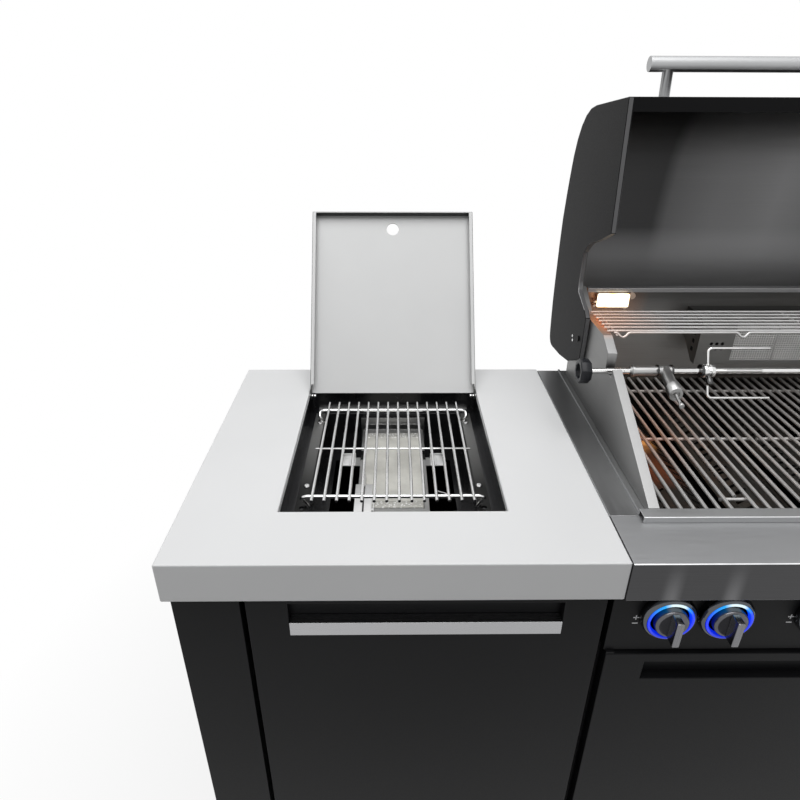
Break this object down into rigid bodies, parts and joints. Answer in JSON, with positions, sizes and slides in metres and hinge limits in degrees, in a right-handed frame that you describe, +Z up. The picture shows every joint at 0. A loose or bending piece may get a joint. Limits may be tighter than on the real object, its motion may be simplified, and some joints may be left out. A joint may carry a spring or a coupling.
{
  "type": "outdoor kitchen island",
  "caption": "Outdoor kitchen island: a side module with a sear burner under a hinged lid, beside a gas grill with an open hood, side controls, spit and warming rack.",
  "frame": {"origin": "middle of the bounding box's footprint, on the floor, with the lid and the hood open", "axes": "+X to the right along the front, +Y to the back, +Z up"},
  "size_m": [1.4552, 0.7084, 1.4684],
  "materials": {
    "worktop_paint": "light warm grey, fine satin powder coat",
    "cabinet_paint": "black satin coat",
    "hood_paint": "charcoal outside, brushed steel inside",
    "black_steel": "black enamelled sheet",
    "dark_steel": "heat-darkened stainless sheet",
    "brushed_steel": "brushed along its length",
    "knob_metal": "dark brushed metal",
    "bright_steel": "bright polished stainless wire and bar",
    "ceramic": "unglazed cream ceramic tile with fine holes",
    "black_plastic": "black heat-proof plastic",
    "lamp_glass": "frosted lamp glass, lit warm white"
  },
  "bodies": {
    "island": {"back_wall": "brushed_steel", "burner_train": "dark_steel", "burner_well": "black_steel", "control_panel": "cabinet_paint", "cooking_grate_left": "bright_steel", "cooking_grate_middle": "bright_steel", "cooking_grate_right": "bright_steel", "drip_rails": "black_steel", "firebox": "dark_steel", "flame_tamer_1": "dark_steel", "flame_tamer_2": "dark_steel", "flame_tamer_3": "dark_steel", "flame_tamer_4": "dark_steel", "flame_tamer_5": "dark_steel", "front_fascia": "brushed_steel", "grill_base_frame": "black_steel", "grill_cabinet": "cabinet_paint", "grill_deck": "brushed_steel", "hood_bolt_left": "black_steel", "hood_bolt_right": "black_steel", "lamp_left": "lamp_glass", "lamp_right": "lamp_glass", "lid_pin_left": "bright_steel", "lid_pin_right": "bright_steel", "rear_burner": "dark_steel", "rear_burner_mesh": "bright_steel", "sear_burner": "brushed_steel", "sear_grate": "bright_steel", "sear_igniter": "bright_steel", "sear_tile": "ceramic", "side_base_frame": "black_steel", "side_cabinet": "cabinet_paint", "side_wall_left": "brushed_steel", "side_wall_right": "brushed_steel", "side_worktop": "worktop_paint", "spit_motor": "black_steel", "warming_rack": "bright_steel", "well_ledge_left": "brushed_steel", "well_ledge_right": "brushed_steel"},
    "lid": {"sear_lid": "worktop_paint"},
    "hood": {"hood_shell": "hood_paint", "hood_handle": "bright_steel"},
    "drawer": {"drawer_front": "cabinet_paint", "drawer_grip": "brushed_steel", "drawer_tray": "dark_steel"},
    "door_left": {"door_left": "cabinet_paint"},
    "door_right": {"door_right": "cabinet_paint"},
    "knob_1": {"knob_1": "knob_metal"},
    "knob_2": {"knob_2": "knob_metal"},
    "knob_3": {"knob_3": "knob_metal"},
    "knob_4": {"knob_4": "knob_metal"},
    "knob_5": {"knob_5": "knob_metal"},
    "knob_6": {"knob_6": "knob_metal"},
    "knob_7": {"knob_7": "knob_metal"},
    "spit": {"spit_rod": "bright_steel", "spit_handle": "black_plastic", "spit_counterweight": "brushed_steel", "spit_fork_left": "bright_steel", "spit_fork_right": "bright_steel"},
    "drip_tray": {"drip_tray": "dark_steel"}
  },
  "joints": [
    {"name": "lid_hinge", "type": "hinge", "parent": "island", "child": "lid", "pos_m": [-0.42765, 0.14128, 0.892], "axis": [1, 0, 0], "range_deg": [0, 124]},
    {"name": "hood_hinge", "type": "hinge", "parent": "island", "child": "hood", "pos_m": [0.29165, 0.14328, 1.0097], "axis": [1, 0, 0], "range_deg": [0, 94.6]},
    {"name": "drawer_slide", "type": "slide", "parent": "island", "child": "drawer", "axis": [0, -1, 0], "range_m": [0, 0.4]},
    {"name": "door_left_hinge", "type": "hinge", "parent": "island", "child": "door_left", "pos_m": [-0.12235, -0.31072, 0.41], "axis": [0, 0, -1], "range_deg": [0, 90]},
    {"name": "door_right_hinge", "type": "hinge", "parent": "island", "child": "door_right", "pos_m": [0.69765, -0.31072, 0.41], "axis": [0, 0, 1], "range_deg": [0, 90]},
    {"name": "knob_1_turn", "type": "hinge", "parent": "island", "child": "knob_1", "pos_m": [-0.05535, -0.32472, 0.792], "axis": [0, -1, 0], "range_deg": [0, 225]},
    {"name": "knob_2_turn", "type": "hinge", "parent": "island", "child": "knob_2", "pos_m": [0.02365, -0.32472, 0.792], "axis": [0, -1, 0], "range_deg": [0, 225]},
    {"name": "knob_3_turn", "type": "hinge", "parent": "island", "child": "knob_3", "pos_m": [0.15765, -0.32472, 0.792], "axis": [0, -1, 0], "range_deg": [0, 225]},
    {"name": "knob_4_turn", "type": "hinge", "parent": "island", "child": "knob_4", "pos_m": [0.29165, -0.32472, 0.792], "axis": [0, -1, 0], "range_deg": [0, 225]},
    {"name": "knob_5_turn", "type": "hinge", "parent": "island", "child": "knob_5", "pos_m": [0.42565, -0.32472, 0.792], "axis": [0, -1, 0], "range_deg": [0, 225]},
    {"name": "knob_6_turn", "type": "hinge", "parent": "island", "child": "knob_6", "pos_m": [0.55965, -0.32472, 0.792], "axis": [0, -1, 0], "range_deg": [0, 225]},
    {"name": "knob_7_turn", "type": "hinge", "parent": "island", "child": "knob_7", "pos_m": [0.63865, -0.32472, 0.792], "axis": [0, -1, 0], "range_deg": [0, 225]},
    {"name": "spit_spin", "type": "hinge", "parent": "island", "child": "spit", "pos_m": [0.29165, -0.00472, 1.012], "axis": [1, 0, 0], "continuous": true},
    {"name": "drip_tray_slide", "type": "slide", "parent": "island", "child": "drip_tray", "axis": [0, 1, 0], "range_m": [0, 0.35]}
  ]
}
